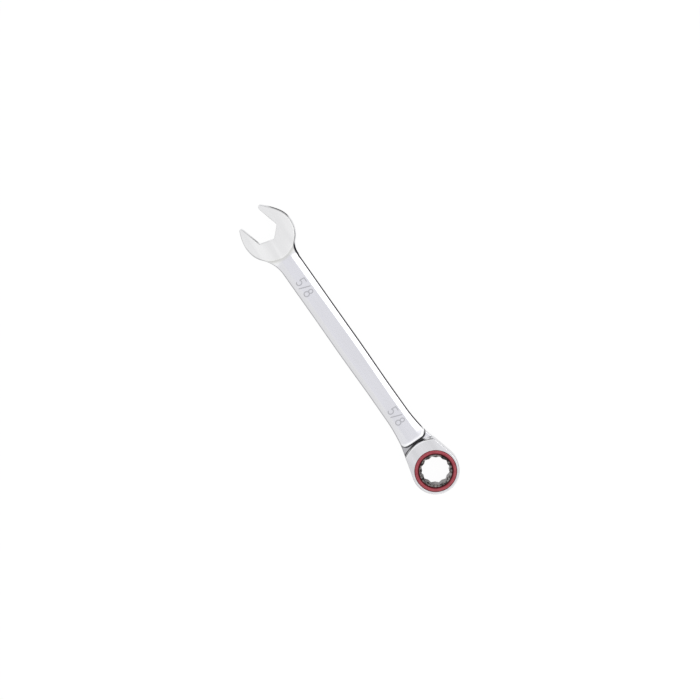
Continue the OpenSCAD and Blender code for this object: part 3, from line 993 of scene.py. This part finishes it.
# turning marks run round the ring: the noise is read at the radius, and only slowly with the angle
lathe = node(tree, "ShaderNodeCombineXYZ", {
    0: from_hub,
    1: math_node(tree, "MULTIPLY", axes[0], 0.03), 2: math_node(tree, "MULTIPLY", axes[1], 0.03),
}).outputs[0]
scratches, mottles = place_marks(tree, lathe, (1.0, 1.0, 1.0), 9000.0, 1200.0)
spots = node(tree, "ShaderNodeTexNoise", {"Vector": place, "Scale": 500.0, "Detail": 3.0}).outputs[0]
shade = math_node(tree, "MULTIPLY", band(tree, spots, 0.3, 0.7), 0.7)
shade = math_node(tree, "ADD", shade, math_node(tree, "MULTIPLY", mottles, 0.3))
red = mix_colour(tree, shade, (0.31, 0.056, 0.07, 1), (0.44, 0.1, 0.115, 1))
# painted shade: dark bands near the ring's inner and outer edges
inner_edge_shade = band(tree, from_hub, (cover_bore + 0.9) * MM, (cover_bore + 0.4) * MM)
outer_edge_shade = band(tree, from_hub, (cover_r - 0.4) * MM, (cover_r - 0.1) * MM)
red = mix_colour(tree, math_node(tree, "MAXIMUM", inner_edge_shade, outer_edge_shade), red, (0.11, 0.012, 0.017, 1))
tree.links.new(red, shader.inputs["Base Color"])
rough = math_node(tree, "ADD", 0.26, math_node(tree, "MULTIPLY", scratches, 0.16))
tree.links.new(rough, shader.inputs["Roughness"])
roughen(tree, shader, scratches, 0.3, 0.00003)
cover = build_mesh("red_cover_ring", points, faces, anodised, math.radians(28))
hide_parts("cover_ring")
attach(cover, "wrench")

# ---- Retaining clip ------------------------------------------------------------------------
# A C of round spring wire. It is squeezed into the cover ring's groove, and springs out into the
# head's groove when the ring is pressed home.
clip_low, clip_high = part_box("retaining_clip")
clip_wire = (clip_high.z - clip_low.z) / 2 / MM
clip_r = clip_high.x / MM - clip_wire
half_gap = math.radians(20)
turns = np.linspace(math.pi + half_gap, 3 * math.pi - half_gap, 180)
path = np.column_stack((clip_r * np.cos(turns), clip_r * np.sin(turns), np.full(180, clip_z)))

clip_steel = bare_steel(
    "clip_steel", (1.0, 1.0, 1.0), 4000.0, 600.0, ((0.11, 0.11, 0.12, 1), (0.2, 0.19, 0.19, 1)), (0.25, 0.2)
)[0]
clip = build_mesh("wire_clip", *sweep(path, clip_wire, 16), clip_steel)
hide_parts("retaining_clip")
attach(clip, "wrench")

# ---- Bench and light -----------------------------------------------------------------------
# A plain white sheet under the tool, tilted so that it touches the ring end and the jaws, with a
# pale sky over it and one softbox on the side of the lower bevel.
head_foot = face_r - 0.8
jaw_foot = heel[0] - heel_r + 1.4
slope = (z_mid - open_half) / (jaw_foot - head_foot)
half_sheet = 1.5
corners = [
    (half_sheet * x, half_sheet * y, slope * (half_sheet * x - head_foot * MM) - 0.02 * MM)
    for x, y in ((-1, -1), (1, -1), (1, 1), (-1, 1))
]
sheet_mesh = bpy.data.meshes.new("white_sheet")
sheet_mesh.from_pydata(corners, [], [(0, 1, 2, 3)])
sheet = bpy.data.objects.new("white_sheet", sheet_mesh)
bpy.context.scene.collection.objects.link(sheet)
paper = bpy.data.materials.new("white_paper")
paper.use_nodes = True
tree = paper.node_tree
tree.nodes.clear()
seen = node(tree, "ShaderNodeLightPath").outputs["Is Camera Ray"]
lit = node(tree, "ShaderNodeBsdfDiffuse", {"Color": (0.9, 0.9, 0.9, 1)}).outputs[0]
white = node(tree, "ShaderNodeEmission", {"Color": (1, 1, 1, 1), "Strength": 1.02}).outputs[0]
shown = node(tree, "ShaderNodeMixShader", {0: 0.94, 1: lit, 2: white}).outputs[0]
axes = node(tree, "ShaderNodeSeparateXYZ", {0: node(tree, "ShaderNodeTexCoord").outputs["Object"]}).outputs
tone = (0.85, 0.85, 0.86, 1)
# painted shadow: dark strips on it, seen only in reflections, stand in for the shade beside the tool and draw
# the dark lines along the polished edges
for x0, x1, y0, y1, soft, shade in (
    (26.3, 161, -40, -5.5, 3, (0.02, 0.02, 0.025, 1)),
    (-30, 169, 5.5, 40, 3, (0.4, 0.4, 0.41, 1)),
    (179, 191, -24, -4, 3, (0.12, 0.12, 0.12, 1)),
    (176, 190, 2, 9.5, 2, (0.4, 0.4, 0.4, 1)),
):
    patch = 1.0
    half_soft = soft / 2
    for axis, low, high in ((axes[0], x0, x1), (axes[1], y0, y1)):
        begun = band(tree, axis, (low - half_soft) * MM, (low + half_soft) * MM)
        patch = math_node(tree, "MULTIPLY", patch, begun)
        ended = band(tree, axis, (high + half_soft) * MM, (high - half_soft) * MM)
        patch = math_node(tree, "MULTIPLY", patch, ended)
    tone = mix_colour(tree, patch, tone, shade)
reflected_shade = node(tree, "ShaderNodeEmission", {"Color": tone, "Strength": 1.0}).outputs[0]
both = node(tree, "ShaderNodeMixShader", {0: seen, 1: reflected_shade, 2: shown}).outputs[0]
# from underneath the sheet is clear, so that the tool's back shows
under = node(tree, "ShaderNodeNewGeometry").outputs["Backfacing"]
clear = node(tree, "ShaderNodeBsdfTransparent").outputs[0]
both = node(tree, "ShaderNodeMixShader", {0: under, 1: both, 2: clear}).outputs[0]
tree.links.new(both, node(tree, "ShaderNodeOutputMaterial").inputs[0])
sheet_mesh.materials.append(paper)
sheet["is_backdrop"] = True

sky = bpy.data.worlds.new("studio")
bpy.context.scene.world = sky
sky.use_nodes = True
tree = sky.node_tree
tree.nodes.clear()
way = node(tree, "ShaderNodeSeparateXYZ", {0: node(tree, "ShaderNodeTexCoord").outputs["Generated"]}).outputs
off_top = band(tree, way[2], 0.95, 0.75)
far_side = math_node(tree, "MULTIPLY", band(tree, way[1], 0.35, 0.8), 0.75)
glow = mix_colour(tree, off_top, (0.88, 0.88, 0.925, 1), (1.1, 1.1, 1.1, 1))
glow = mix_colour(tree, far_side, glow, (0.7, 0.7, 0.72, 1))
endways = band(tree, math_node(tree, "ABSOLUTE", way[0]), 0.45, 0.75)
horizon = mix_colour(tree, endways, (0.6, 0.6, 0.62, 1), (1.05, 1.05, 1.05, 1))
glow = mix_colour(tree, band(tree, way[2], 0.5, 0.1), glow, horizon)
near_side = math_node(tree, "MULTIPLY", band(tree, way[1], -0.35, -0.75), band(tree, way[2], 0.62, 0.5))
glow = mix_colour(tree, near_side, glow, (0.42, 0.42, 0.43, 1))
around_us = node(tree, "ShaderNodeBackground", {"Color": glow, "Strength": 1.0}).outputs[0]
plain = node(tree, "ShaderNodeBackground", {"Color": (1, 1, 1, 1), "Strength": 1.0}).outputs[0]
seen = node(tree, "ShaderNodeLightPath").outputs["Is Camera Ray"]
both = node(tree, "ShaderNodeMixShader", {0: seen, 1: around_us, 2: plain}).outputs[0]
tree.links.new(both, node(tree, "ShaderNodeOutputWorld").inputs[0])

box_light = bpy.data.lights.new("softbox", "AREA")
box_light.shape = "RECTANGLE"
box_light.size, box_light.size_y = 0.62, 0.5
box_light.energy = 1.15
box = bpy.data.objects.new("softbox", box_light)
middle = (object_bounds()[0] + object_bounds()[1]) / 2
toward = Vector((0, -math.sin(math.radians(34)), math.cos(math.radians(34))))
box.location = middle + toward * 1.3 + Vector((-0.15, 0, 0))
box.rotation_euler = toward.to_track_quat("Z", "X").to_euler()
bpy.context.scene.collection.objects.link(box)
bpy.context.scene.view_settings.view_transform = "Standard"
